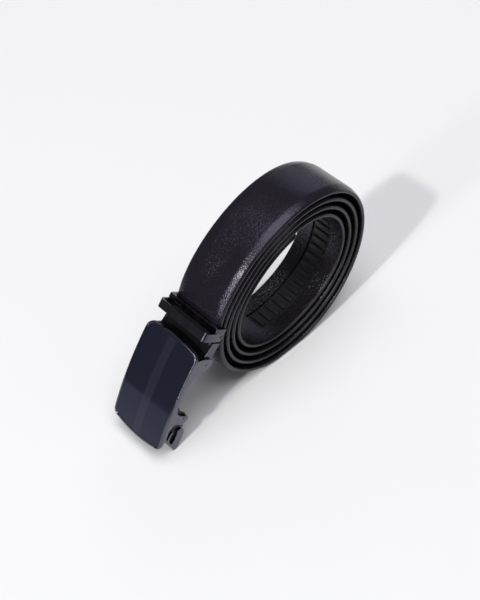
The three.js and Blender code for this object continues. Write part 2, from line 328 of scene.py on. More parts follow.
def pebbled_leather(name, color, grain, depth, roughness, relief_range):
    """Cowhide, drum dyed and plate embossed. It gives rounded pebbles with fine creases between them, flatter
    and glossier in some patches than in others. The creases are painted darker as shade. The pebbles are
    drawn a little wider than real ones, so that they show. Grain is the width of a pebble and depth its
    height, in millimetres."""
    material, tree, shader = new_material(name, {
        "Base Color": linear(color), "Roughness": roughness, "IOR": 1.42,
        "Specular Tint": linear("#EFE8FF")})
    place = add(tree, "Attribute", {"attribute_name": "lay"}).outputs["Vector"]

    # Pebbles in bent rows, the creases between them, and pores about a third of a pebble apart
    wander = add(tree, "TexNoise", {"Scale": 0.6 / grain, "Detail": 2.0}, Vector=place)
    shifted = add(tree, "VectorMath", {"operation": "MULTIPLY_ADD", 1: (grain * 0.8,) * 3},
                  i0=wander.outputs["Color"], i2=place)
    pebbles = add(tree, "TexVoronoi", {"feature": "SMOOTH_F1", "Scale": 1 / grain, "Smoothness": 0.25},
                  Vector=shifted.outputs[0])
    creases = add(tree, "TexVoronoi", {"feature": "DISTANCE_TO_EDGE", "Scale": 1 / grain},
                  Vector=shifted.outputs[0])
    pores = add(tree, "TexNoise", {"Scale": 2.6 / grain, "Detail": 3.0}, Vector=place)

    # Height of the grain
    crease_line = add(tree, "MapRange", {"From Min": 0.0, "From Max": 0.22},
                      Value=creases.outputs["Distance"])
    dome = add(tree, "MapRange", {"From Min": 0.0, "From Max": 0.8, "To Min": 1.0, "To Max": 0.0},
               Value=pebbles.outputs["Distance"])
    grainy = add(tree, "Math", {"operation": "MULTIPLY_ADD", 1: 0.4},
                 i0=crease_line.outputs[0], i2=dome.outputs[0])
    height = add(tree, "Math", {"operation": "MULTIPLY_ADD", 1: 0.3},
                 i0=pores.outputs["Fac"], i2=grainy.outputs[0])

    # How much of it stands out: it changes over about 20 mm, and is most where the strap was flexed
    patches = add(tree, "TexNoise", {"Scale": 1 / 20, "Detail": 2.0, "Roughness": 0.6}, Vector=place)
    relief = add(tree, "MapRange", {"From Min": 0.42, "From Max": 0.62, "To Min": relief_range[0],
                                    "To Max": relief_range[1]}, Value=patches.outputs["Fac"])
    around = add(tree, "Mapping", {"vector_type": "TEXTURE", "Location": FLEXED_AT, "Scale": FLEXED_SIZE},
                 Vector=place)
    reach = add(tree, "VectorMath", {"operation": "LENGTH"}, i0=around.outputs[0])
    uneven = add(tree, "Math", {"operation": "MULTIPLY_ADD", 1: 1.4}, i0=wander.outputs["Fac"],
                 i2=reach.outputs["Value"])
    flexed = add(tree, "MapRange", {"From Min": 1.9, "From Max": 1.4, "To Min": 0.0, "To Max": 0.45},
                 Value=uneven.outputs[0])
    strength = add(tree, "Math", {"operation": "ADD", "use_clamp": True}, i0=relief.outputs[0],
                   i1=flexed.outputs[0])
    bump = add(tree, "Bump", {"Distance": depth * MM}, Height=height.outputs[0],
               Strength=strength.outputs[0])
    tree.links.new(bump.outputs[0], shader.inputs["Normal"])

    # The creases are painted darker as shade, and the pores dull the gloss
    tone = add(tree, "MixRGB", {"blend_type": "MULTIPLY", "Color1": linear(color),
                                "Color2": linear("#C4C4CB")})
    # Painted shade: the base colour is darkened toward the middle of each crease
    crease_shade = add(tree, "MapRange", {"From Min": 0.0, "From Max": 0.12, "To Min": 0.7, "To Max": 0.0},
               Value=creases.outputs["Distance"])
    tree.links.new(crease_shade.outputs[0], tone.inputs["Fac"])
    tree.links.new(tone.outputs[0], shader.inputs["Base Color"])
    gloss = add(tree, "MapRange", {"From Min": 0.3, "From Max": 0.7, "To Min": roughness - 0.05,
                                   "To Max": roughness + 0.08}, Value=pores.outputs["Fac"])
    tree.links.new(gloss.outputs[0], shader.inputs["Roughness"])
    return material


def edge_paint(name, color):
    """Acrylic edge paint, brushed on and burnished. It is nearly smooth, with faint waves 1.25 mm long, which
    are longer than real brush marks so that they show."""
    material, tree, shader = new_material(name, {
        "Base Color": linear(color), "Roughness": 0.38, "IOR": 1.45})
    place = add(tree, "Attribute", {"attribute_name": "lay"}).outputs["Vector"]
    waves = add(tree, "TexNoise", {"Scale": 1 / 1.25, "Detail": 3.0}, Vector=place)
    bump = add(tree, "Bump", {"Distance": 0.05 * MM, "Strength": 0.6}, Height=waves.outputs["Fac"])
    tree.links.new(bump.outputs[0], shader.inputs["Normal"])
    return material


def moulded_rubber(name, color):
    """Polyurethane rubber, moulded. It is matt, because the mould leaves a speckle of 0.25 mm, which dulls
    the ribs and isn't seen by itself."""
    material, tree, shader = new_material(name, {
        "Base Color": linear(color), "Roughness": 0.55, "IOR": 1.5})
    place = add(tree, "Attribute", {"attribute_name": "lay"}).outputs["Vector"]
    speckle = add(tree, "TexNoise", {"Scale": 1 / 0.25, "Detail": 2.0}, Vector=place)
    bump = add(tree, "Bump", {"Distance": 0.03 * MM, "Strength": 0.7}, Height=speckle.outputs["Fac"])
    tree.links.new(bump.outputs[0], shader.inputs["Normal"])
    return material


def plated_metal(name, color, roughness):
    """Zinc alloy casting, polished and plated. It is mirror-like, with polishing haze in patches of 6 mm and
    hairlines along Y. Real hairlines are too fine to show, so these lie 0.67 mm apart."""
    material, tree, shader = new_material(name, {
        "Base Color": linear(color), "Metallic": 1.0, "Roughness": roughness})
    place = add(tree, "TexCoord").outputs["Object"]
    haze = add(tree, "TexNoise", {"Scale": 1 / (6.25 * MM), "Detail": 3.0}, Vector=place)
    gloss = add(tree, "MapRange", {"From Min": 0.3, "From Max": 0.7, "To Min": roughness * 0.75,
                                   "To Max": roughness * 1.35}, Value=haze.outputs["Fac"])
    tree.links.new(gloss.outputs[0], shader.inputs["Roughness"])
    apart, long = 0.667 * MM, 11.1 * MM
    stretched = add(tree, "Mapping", {"Scale": (1 / apart, 1 / long, 1 / apart)}, Vector=place)
    hairs = add(tree, "TexNoise", {"Scale": 1.0, "Detail": 2.0}, Vector=stretched.outputs[0])
    bump = add(tree, "Bump", {"Distance": 0.004 * MM, "Strength": 0.5}, Height=hairs.outputs["Fac"])
    tree.links.new(bump.outputs[0], shader.inputs["Normal"])
    return material


def lacquer(name, color, roughness):
    """Baked lacquer, polished flat. It has a deep colour and a sharp, slightly blue reflection, a little less
    even over about 17 mm."""
    material, tree, shader = new_material(name, {
        "Base Color": linear(color), "Roughness": roughness, "IOR": 1.36,
        "Specular Tint": linear("#B4B8FF")})
    place = add(tree, "TexCoord").outputs["Object"]
    cloud = add(tree, "TexNoise", {"Scale": 1 / (16.7 * MM), "Detail": 2.0}, Vector=place)
    gloss = add(tree, "MapRange", {"From Min": 0.3, "From Max": 0.7, "To Min": roughness * 0.8,
                                   "To Max": roughness * 1.25}, Value=cloud.outputs["Fac"])
    tree.links.new(gloss.outputs[0], shader.inputs["Roughness"])
    return material


def black_steel(name, color):
    """Sheet steel, blackened by oxide. It is dull, with pits of 1.1 mm, coarser than real ones so that they
    show. The same black also stands as painted shade in the clamp's web, in the tab's hollow and round the
    rivets."""
    material, tree, shader = new_material(name, {
        "Base Color": linear(color), "Roughness": 0.36, "IOR": 1.35})
    place = add(tree, "TexCoord").outputs["Object"]
    pits = add(tree, "TexNoise", {"Scale": 1 / (1.11 * MM), "Detail": 2.0}, Vector=place)
    bump = add(tree, "Bump", {"Distance": 0.02 * MM, "Strength": 0.5}, Height=pits.outputs["Fac"])
    tree.links.new(bump.outputs[0], shader.inputs["Normal"])
    return material


def shared(name, maker, *values):
    """The material of that name, made the first time it is asked for."""
    return bpy.data.materials.get(name) or maker(name, *values)


def gunmetal(buckle):
    return shared("gunmetal_plate", plated_metal, buckle.metal, 0.16)


def black_nickel(buckle):
    return shared("black_nickel_plate", plated_metal, buckle.clamp_metal, 0.2)


# Black steel for the pawl, and painted shade where it fills the clamp's web, the tab's hollow and the rivet
# rings
def black_steel_and_shade(buckle):
    return shared("black_oxide_steel", black_steel, buckle.steel)


# Mesh tools
def tilted(degrees):
    """Matrix from a group turned about the hinge line to the model, in millimetres."""
    return Matrix.Translation((HINGE_X, 0, HINGE_Z)) @ Matrix.Rotation(math.radians(degrees), 4, "Y")


def finish_piece(bm, name, body, replaced, materials, matrix=None, bevel=0.0, segments=3, angle=32):
    """Brings a mesh to its place in metres, makes its object, hangs it under its body and hides the CAD part
    it replaces.
    """
    if matrix is not None:
        bmesh.ops.transform(bm, matrix=matrix, verts=bm.verts)
    bmesh.ops.scale(bm, vec=(MM, MM, MM), verts=bm.verts)
    for face in bm.faces:
        face.smooth = True
    for edge in bm.edges:
        edge.smooth = len(edge.link_faces) != 2 or edge.calc_face_angle() < math.radians(angle)
    mesh = bpy.data.meshes.new(name)
    bm.to_mesh(mesh)
    bm.free()
    for material in materials:
        mesh.materials.append(material)
    piece = bpy.data.objects.new(name, mesh)
    bpy.context.scene.collection.objects.link(piece)
    if bevel:
        rounding = piece.modifiers.new("Edge break", "BEVEL")
        rounding.width = bevel * MM
        rounding.segments = segments
        rounding.limit_method = "ANGLE"
        rounding.angle_limit = math.radians(angle)
        rounding.harden_normals = True
    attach(piece, body)
    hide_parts(replaced)


def extrude_by(bm, faces, offset):
    """Extrudes faces by an offset, keeps them as the near end, and returns the far vertices."""
    made = bmesh.ops.extrude_face_region(bm, geom=faces, use_keep_orig=True)["geom"]
    far = [g for g in made if isinstance(g, bmesh.types.BMVert)]
    bmesh.ops.translate(bm, vec=offset, verts=far)
    return far


def round_edges(bm, edges, width, segments):
    bmesh.ops.bevel(bm, geom=edges, offset=width, segments=segments, profile=0.5, affect="EDGES", material=-1)


def cut(bm, place, normal, **options):
    """Cuts the whole mesh along a plane."""
    bmesh.ops.bisect_plane(bm, geom=bm.verts[:] + bm.edges[:] + bm.faces[:], plane_co=place,
                           plane_no=normal, **options)


def edges_along_x(bm):
    return [e for e in bm.edges if abs(e.verts[0].co.x - e.verts[1].co.x) > 1]


def add_prism(bm, points, y0, y1, material=0):
    """Side profile in X and Z, extruded along Y from y0 to y1."""
    near = [bm.verts.new((x, y0, z)) for x, z in points]
    far = extrude_by(bm, [bm.faces.new(near)], (0, y1 - y0, 0))
    faces = list({f for v in near + far for f in v.link_faces})
    bmesh.ops.recalc_face_normals(bm, faces=faces)
    for face in faces:
        face.material_index = material
    return faces


def add_pair(bm, points, y0, y1, material=0):
    """The same side profile on both sides of the middle, y0 and y1 out from it."""
    faces = []
    for side in (-1, 1):
        faces += add_prism(bm, points, *sorted((side * y0, side * y1)), material)
    return faces


def add_round(bm, radius, length, place, sides):
    """Round bar along Y; returns its faces."""
    upright = Matrix.Rotation(math.radians(90), 4, "X")
    made = bmesh.ops.create_cone(bm, cap_ends=True, segments=sides, radius1=radius, radius2=radius,
                                 depth=length, matrix=Matrix.Translation(place) @ upright)["verts"]
    return {f for v in made for f in v.link_faces}


def turned(points):
    """Lengths of the buckle point away from the coil, so X is their negative."""
    return [(-along, out) for along, out in points]


def arch(along, below=0.0):
    """Height of the plate's arch, or of a layer below it, at a length from the hinge."""
    crown, middle, radius = ARCH
    return crown - radius + math.sqrt((radius - below) ** 2 - (along - middle) ** 2)


def arch_line(start, end, below, count):
    steps = [start + (end - start) * i / count for i in range(count + 1)]
    return [(along, arch(along, below)) for along in steps]


# Path of the strap
def spiral_point(turn):
    angle = math.radians(START_ANGLE - 360 * turn)
    radius = RADIUS[0] + RADIUS[1] * turn + RADIUS[2] * turn * turn
    for i, (cosine, sine, cosine_gain, sine_gain) in enumerate(HARMONICS, start=1):
        radius += (cosine + cosine_gain * turn) * math.cos(i * angle)
        radius += (sine + sine_gain * turn) * math.sin(i * angle)
    return Vector((COIL_CENTRE[0] + radius * math.cos(angle), DRIFT * turn,
                   max(STANDS_AT, COIL_CENTRE[1] + radius * math.sin(angle))))


class StrapPath:
    """Middle line of the strap from the clamp to the tip, with the way out of its outer face."""

    def __init__(self):
        to_model = tilted(CLAMP_TILT)
        start = to_model @ Vector((STRAP_FROM, 0, STRAP_OUT))
        leave = to_model @ Vector((STRAP_FREE_FROM, 0, STRAP_OUT))
        join = spiral_point(SPIRAL_FROM)
        ahead = (spiral_point(SPIRAL_FROM + 0.001) - join).normalized()
        pull = (join - leave).length / 3
        lift = Matrix.Rotation(math.radians(EXIT_LIFT), 3, "Y")
        after = leave + lift @ (leave - start).normalized() * pull
        before = join - ahead * pull

        # Straight in the jaw, then one curve of third degree, then the spiral
        points = [start.lerp(leave, i / 8) for i in range(8)]
        for t in (i / 20 for i in range(20)):
            points.append(leave * (1 - t) ** 3 + after * 3 * t * (1 - t) ** 2
                          + before * 3 * t * t * (1 - t) + join * t ** 3)
        self.first_turn = len(points)
        count = round((TURNS - SPIRAL_FROM) / TURN_STEP)
        points += [spiral_point(SPIRAL_FROM + TURN_STEP * i) for i in range(count + 1)]
        self.points = points
        self.lengths = [0.0]
        for near, far in zip(points, points[1:]):
            self.lengths.append(self.lengths[-1] + (far - near).length)
        self.total = self.lengths[-1]
        self.outs = []
        for i in range(len(points)):
            way = points[min(i + 1, len(points) - 1)] - points[max(i - 1, 0)]
            self.outs.append(Vector((-way.z, 0, way.x)).normalized())

    def at_turn(self, turn):
        """Length along the strap at a turn of the spiral."""
        place = self.first_turn + (turn - SPIRAL_FROM) / TURN_STEP
        i = int(place)
        return self.lengths[i] + (place - i) * (self.lengths[i + 1] - self.lengths[i])

    def bend(self, bm):
        """Moves a flat mesh (X along, Y across, Z out) onto the path, and keeps its flat place as 'lay'."""
        lay = bm.verts.layers.float_vector.new("lay")
        i = 0
        for v in sorted(bm.verts, key=lambda v: v.co.x):
            v[lay] = v.co
            along, across, out = v.co
            while i < len(self.points) - 2 and self.lengths[i + 1] < along:
                i += 1
            t = (along - self.lengths[i]) / (self.lengths[i + 1] - self.lengths[i])
            way_out = self.outs[i].lerp(self.outs[i + 1], t).normalized()
            v.co = self.points[i].lerp(self.points[i + 1], t) + way_out * out + Vector((0, across, 0))
            v.co.z = max(v.co.z, 0.0)


# Operators
class BELT_OT_strap(bpy.types.Operator):
    """Model the leather strap flat, cut its groove and tip, and wind it into the coil"""
    bl_idname = "belt.strap"
    bl_label = "Strap"

    def execute(self, context):
        settings = context.scene.belt_strap
        path = StrapPath()
        wide, thick = settings.width / 2, settings.thickness / 2

        # Half section from the middle of the outer face round the edge to the inner face
        half = [(MIDDLE_STRIP, thick), (GROOVE_HALF, thick)]
        half += [(wide - inward, thick - fall * settings.feather) for inward, fall in FEATHERING]
        half += [(wide - inward, height) for inward, height in PAINTED_EDGE]
        half += [(y, -thick) for y in (wide - PAINT_REACH, wide - LINING_TURN, GROOVE_HALF, MIDDLE_STRIP)]
        section = half + [(-y, z) for y, z in reversed(half)]
        bm = bmesh.new()
        end = bm.faces.new([bm.verts.new((0, y, z)) for y, z in section])
        extrude_by(bm, [end], (path.total, 0, 0))
        bmesh.ops.subdivide_edges(bm, edges=edges_along_x(bm), cuts=settings.rings, use_grid_fill=True)
        bmesh.ops.recalc_face_normals(bm, faces=bm.faces)
        for face in bm.faces:
            middle = face.calc_center_median()
            if abs(middle.y) > wide - PAINT_REACH and middle.z < 0.1:
                face.material_index = 1
            elif middle.z < -1:
                face.material_index = 2

        # Groove for the track
        start = path.at_turn(TRACK_FROM) - GROOVE_PAST_TRACK
        stop = path.at_turn(TRACK_TO) + GROOVE_PAST_TRACK
        inside = [f for f in bm.faces if f.normal.z < -0.9 and abs(f.calc_center_median().y) < GROOVE_HALF
                  and start < f.calc_center_median().x < stop]
        bmesh.ops.inset_region(bm, faces=inside, thickness=0.05, depth=-GROOVE_DEPTH, use_even_offset=True)

        # Tip with its corners cut and softened
        for v in bm.verts:
            beyond = v.co.x - (path.total - TIP_CUT)
            if beyond > 0:
                v.co.y *= 1 - (beyond / wide) * (0.55 + 0.45 * beyond / TIP_CUT)
        path.bend(bm)
        leather = pebbled_leather("pebbled_cowhide", settings.color, settings.grain, depth=0.19,
                                  roughness=0.23, relief_range=(0.13, 0.4))
        paint = edge_paint("painted_edge", settings.edge_color)
        # The lining is the same hide, split and embossed with a wider and duller grain
        lining = pebbled_leather("lining_leather", settings.lining_color, settings.grain * 1.4, depth=0.24,
                                 roughness=0.26, relief_range=(0.35, 0.7))
        finish_piece(bm, "strap_leather", "belt", "strap", [leather, paint, lining], angle=50)
        return {"FINISHED"}


class BELT_OT_track(bpy.types.Operator):
    """Model the ribbed track and lay it in the strap's groove"""
    bl_idname = "belt.track"
    bl_label = "Track"

    def execute(self, context):
        path = StrapPath()
        start, stop = path.at_turn(TRACK_FROM), path.at_turn(TRACK_TO)
        bm = bmesh.new()
        base = bmesh.ops.create_cube(bm, size=1)["verts"]
        bmesh.ops.scale(bm, vec=(stop - start, TRACK_WIDTH, TRACK_BASE), verts=base)
        bmesh.ops.translate(bm, vec=((stop + start) / 2, 0, TRACK_BASE_OUT), verts=base)
        upright = [e for e in bm.edges if abs(e.verts[0].co.z - e.verts[1].co.z) > 0.1]
        round_edges(bm, upright, TRACK_CORNER, 4)

        # Cuts across the base let it bend
        for i in range(1, int((stop - start) / BEND_STEP)):
            cut(bm, (start + BEND_STEP * i, 0, 0), (1, 0, 0))
        ribs = int((stop - start) / RIB_PITCH)
        pitch = (stop - start) / ribs
        for i in range(ribs):
            profile = [(start + pitch * i + along, out) for along, out in RIB]
            faces = add_prism(bm, profile, -RIB_HALF, RIB_HALF)
            sharp = list({e for f in faces for e in f.edges if e.calc_face_angle() > 0.5})
            round_edges(bm, sharp, RIB_ROUNDING, 2)
        path.bend(bm)
        rubber = moulded_rubber("moulded_track", context.scene.belt_strap.track_color)
        finish_piece(bm, "track_ribs", "belt", "ratchet_track", [rubber], angle=40)
        return {"FINISHED"}


class BELT_OT_clamp(bpy.types.Operator):
    """Model the plated jaw round the strap's end, with its two link cheeks and its knuckle on the hinge"""
    bl_idname = "belt.clamp"
    bl_label = "Clamp"

    def execute(self, context):
        buckle = context.scene.belt_buckle
        bm = bmesh.new()
        low, high = STRAP_OUT - JAW_GAP, STRAP_OUT + JAW_GAP
        add_prism(bm, [
            (JAW_FROM, low - JAW_WALL), (JAW_TO, low - JAW_WALL), (JAW_TO, low), (JAW_FROM + 1, low),
            (JAW_FROM + 1, high), (JAW_TO, high), (JAW_TO, LIP_TOP), (LIP_FROM, LIP_TOP),
            (LIP_FROM, high + JAW_WALL), (JAW_FROM, high + JAW_WALL)], -JAW_HALF, JAW_HALF)
        near, far, top = LIP_FROM - CLEAR, JAW_TO + CLEAR, LIP_TOP + CLEAR
        blocks = add_pair(bm, [(near, END_BLOCK_LOW), (far, END_BLOCK_LOW), (far, top), (near, top)],
                          JAW_HALF - 0.2, END_BLOCK_TO)
        upper_corners = [e for e in {e for f in blocks for e in f.edges}
                         if all(abs(v.co.y) > END_BLOCK_TO - 0.1 and v.co.z > LIP_TOP for v in e.verts)]
        round_edges(bm, upper_corners, END_BLOCK_CORNER, 4)

        # Cheeks beside the buckle's walls, and the web between them with its knuckle round the pin. The web
        # is black steel, painted shade for the clamp's dark inside
        cheek = [(13.1, 1.2), (6, 2.3), (2.2, 3.4), (0, 3.7), (-1.5, 3.3), (-2.6, 2.6), (-3.4, 1.4),
                 (-3.7, 0), (-3.4, -1.4), (-2.6, -2.6), (-1.4, -3.5), (0, -3.9), (6, -4.4), (13.1, -5.2)]
        cheek_half = PLATE_WIDTH / 2 - WALL - SHEET_ROOM
        add_pair(bm, cheek, cheek_half, cheek_half - SHEET)
        turns = [math.pi * i / 6 for i in range(8)]
        outside, inside = [[(-radius * math.sin(turn), radius * math.cos(turn)) for turn in turns]
                           for radius in (KNUCKLE_OUTSIDE, KNUCKLE_INSIDE)]
        web = [(12.6, 1.1), (6, 2.4), *outside, *reversed(inside), (6, 1.2), (12.6, -0.1)]
        # The web's black is painted shade
        add_prism(bm, web, -cheek_half + 0.5, cheek_half - 0.5, material=1)
        finish_piece(bm, "clamp_jaw", "belt", "clamp",
                     [black_nickel(buckle), black_steel_and_shade(buckle)], tilted(CLAMP_TILT), bevel=buckle.bevel)
        return {"FINISHED"}


class BELT_OT_loop(bpy.types.Operator):
    """Model the keeper loop as a bent band with rounded corners and a rivet at each side"""
    bl_idname = "belt.loop"
    bl_label = "Keeper loop"

    def execute(self, context):
        buckle = context.scene.belt_buckle
        bm = bmesh.new()
        outline = [(-LOOP_HALF, LOOP_LOW), (LOOP_HALF, LOOP_LOW), (LOOP_HALF, LOOP_HIGH),
                   (-LOOP_HALF, LOOP_HIGH)]
        end = bm.faces.new([bm.verts.new((LOOP_FROM, y, z)) for y, z in outline])
        extrude_by(bm, [end], (LOOP_BREADTH, 0, 0))
        upper = [e for e in edges_along_x(bm) if e.verts[0].co.z > 0]
        round_edges(bm, upper, LOOP_UPPER_CORNER, 8)
        lower = [e for e in edges_along_x(bm) if e.verts[0].co.z < LOOP_LOW + 0.1]
        round_edges(bm, lower, LOOP_LOWER_CORNER, 5)

        # The block becomes a band: its ends are inset, opened and bridged
        ends = [f for f in bm.faces if len(f.verts) > 8]
        bmesh.ops.inset_region(bm, faces=ends, thickness=LOOP_WALL, use_even_offset=True)
        rings = [e for f in ends for e in f.edges]
        bmesh.ops.delete(bm, geom=ends, context="FACES_ONLY")
        bmesh.ops.bridge_loops(bm, edges=rings)
        bmesh.ops.recalc_face_normals(bm, faces=bm.faces)

        # Rivets: a plated head on a black ring, which is painted shade in the seam round the head
        along, out = RIVET_AT
        for side in (-1, 1):
            for (radius, length), material in ((RIVET_SHADE_RING, 1), (RIVET_HEAD, 0)):
                for face in add_round(bm, radius, length, (along, side * LOOP_HALF, out), sides=28):
                    face.material_index = material
        finish_piece(bm, "loop_band", "belt", "keeper_loop",
                     [black_nickel(buckle), black_steel_and_shade(buckle)], tilted(CLAMP_TILT), bevel=LOOP_ROUNDING)
        return {"FINISHED"}


class BELT_OT_pins(bpy.types.Operator):
    """Model the two pins with their slightly domed heads in the frame's ears"""
    bl_idname = "belt.pins"
    bl_label = "Pins"

    def execute(self, context):
        sides = 32
        for name, body, node, (along, out) in (("pin_hinge", "belt", "hinge_pin", (0, 0)),
                                               ("pin_lever", "buckle", "lever_pin", LEVER_PIN)):
            bm = bmesh.new()
            faces = add_round(bm, PIN_RADIUS, PLATE_WIDTH + 2 * PIN_OUT, (-along, 0, out), sides)
            heads = [f for f in faces if len(f.verts) == sides]
            for share in (0.5, 0.35, 0.2):
                bmesh.ops.inset_region(bm, faces=heads, thickness=PIN_RADIUS * 0.26, depth=PIN_DOME * share)
            finish_piece(bm, name, body, node, [gunmetal(context.scene.belt_buckle)],
                         tilted(BUCKLE_TILT), angle=40)
        return {"FINISHED"}


def plate_outline(inset):
    """Plan of the plate shrunk all round by inset: bowed ends, rounded corners and straight sides with
    points to follow the arch; also the lengths of those points."""
    across, corner, along = 12, 7, 30
    half = PLATE_WIDTH / 2 - inset
    radius = PLATE_CORNER - inset * 0.95
    chord = half - radius
    ends = []
    for (end, bow), sign in zip(PLATE_ENDS, (1, -1)):
        set_back = bow * (chord / half) ** 2 + radius
        turns = [math.pi / 2 * i / corner for i in range(corner)]
        side = [(set_back - radius * math.sin(turn), chord + radius * math.cos(turn)) for turn in turns]
        widths = [chord * (1 - 2 * i / across) for i in range(across + 1)]
        middle = [(bow * (y / half) ** 2, y) for y in widths]
        whole = side + middle + [(back, -y) for back, y in reversed(side)]
        ends.append([(end + sign * (inset + back), y) for back, y in whole])
    first, last = ends[0][0][0], ends[1][0][0]
    cuts = [first + (last - first) * i / along for i in range(1, along)]
    points = ends[0] + [(u, -half) for u in cuts] + ends[1][::-1] + [(u, half) for u in reversed(cuts)]
    return points, [first, *cuts, last]


def arched_slab(bm, inset, top, bottom, pocket=None, half=None):
    """Closed slab that follows the arch, from top to bottom below it. A pocket (rim width, depth) is sunk
    into its top, and half trims its sides."""
    points, cuts = plate_outline(inset)
    bm.faces.new([bm.verts.new((-along, y, 0)) for along, y in points])
    if half:
        for side in (-1, 1):
            cut(bm, (0, side * half, 0), (0, side, 0), clear_outer=True)
    for along in cuts:
        cut(bm, (-along, 0, 0), (1, 0, 0), dist=0.001)
    lower = set(extrude_by(bm, bm.faces[:], (0, 0, 0)))
    for v in bm.verts:
        v.co.z = arch(-v.co.x, bottom if v in lower else top)
    bmesh.ops.recalc_face_normals(bm, faces=bm.faces)
    if pocket:
        rim, depth = pocket
        crown = [f for f in bm.faces if f.normal.z > 0.7]
        bmesh.ops.inset_region(bm, faces=crown, thickness=rim - CLEAR, use_even_offset=True)
        bmesh.ops.inset_region(bm, faces=crown, thickness=CLEAR, depth=-depth, use_even_offset=True)


class BELT_OT_plate(bpy.types.Operator):
    """Model the arched plate with its rim and pocket, and the two side walls with their ears"""
    bl_idname = "belt.plate"
    bl_label = "Plate and walls"

    def execute(self, context):
        buckle = context.scene.belt_buckle
        bm = bmesh.new()
        arched_slab(bm, 0.0, 0.0, PLATE_THICK, pocket=(buckle.rim, POCKET_DEPTH))

        # The rim is rounded along its outer edge, and along its inner edge where the corners turn and the
        # faces are broad for their length, so that the corners glint
        brow = [e for e in bm.edges if e.calc_face_angle() > 1.2
                and all(v.co.z > arch(-v.co.x) - 0.01 for v in e.verts)
                and max(f.calc_area() for f in e.link_faces) / e.calc_length() > 1.7]
        round_edges(bm, brow, buckle.brow, 5)
        finish_piece(bm, "plate_rim", "buckle", "buckle_frame", [gunmetal(buckle)],
                     tilted(BUCKLE_TILT), bevel=buckle.bevel)

        # Wall from the arch, down round the lever's ear, along the arched underside and round the hinge's ear
        wall = [
            *arch_line(-4.7, 52.9, 1.6, 30),
            (51.6, 13.9), (49.5, 13), (47, 12.9), (44.6, 13), (42.6, 12.6), (41, 11.8), (39.9, 10.7),
            (39.4, 9.4), (39.6, 7.8), (40.4, 6.1), (41.2, 4.5), (41.6, 3), (41.1, 1.7), (40, 0.8),
            (38.8, 0.1), (37.6, -0.2), (36.2, 0.2), (35.4, 1), (35, 2.2), (34.9, 3.6), (34.2, 6),
            (33, 8.3), (31.4, 10.2), (29.6, 11.4), (27.6, 11.9), (25.5, 12), (23.7, 11.9), (21.8, 11.6),
            (18.2, 11.1), (14.7, 10.2), (12.2, 9.3), (9.8, 8), (7.9, 6.4), (6.2, 4.4), (4.9, 2.3), (3.8, 0),
            (3, -2.4), (2.4, -3.5), (1.6, -4.2), (0.6, -4.7), (-0.6, -4.8), (-1.7, -4.5), (-2.6, -3.8),
            (-3.2, -2.8), (-3.6, -1.6), (-4.4, 1.6), (-5.1, 5), (-5.4, 8.2)]
        bm = bmesh.new()
        half = PLATE_WIDTH / 2
        add_pair(bm, turned(wall), half - 0.05, half - WALL)
        finish_piece(bm, "side_walls", "buckle", "buckle_frame", [gunmetal(buckle)],
                     tilted(BUCKLE_TILT), bevel=buckle.bevel, angle=40)
        return {"FINISHED"}


class BELT_OT_field(bpy.types.Operator):
    """Model the lacquered field and the stripe down its middle"""
    bl_idname = "belt.field"
    bl_label = "Field and stripe"

    def execute(self, context):
        buckle = context.scene.belt_buckle
        bm = bmesh.new()
        room, top, bottom = FIELD_LIES
        arched_slab(bm, buckle.rim + room, top, bottom)
        field = lacquer("navy_lacquer", buckle.field, 0.09)
        finish_piece(bm, "lacquer_field", "buckle", "face_inlay", [field],
                     tilted(BUCKLE_TILT), bevel=0.08, segments=2)
        bm = bmesh.new()
        room, top, bottom = STRIPE_LIES
        arched_slab(bm, buckle.rim + room, top, bottom, half=buckle.stripe / 2)
        stripe = lacquer("smoke_lacquer", buckle.stripe_color, 0.16)
        finish_piece(bm, "lacquer_stripe", "buckle", "face_stripe", [stripe],
                     tilted(BUCKLE_TILT), bevel=0.02, segments=1)
        return {"FINISHED"}


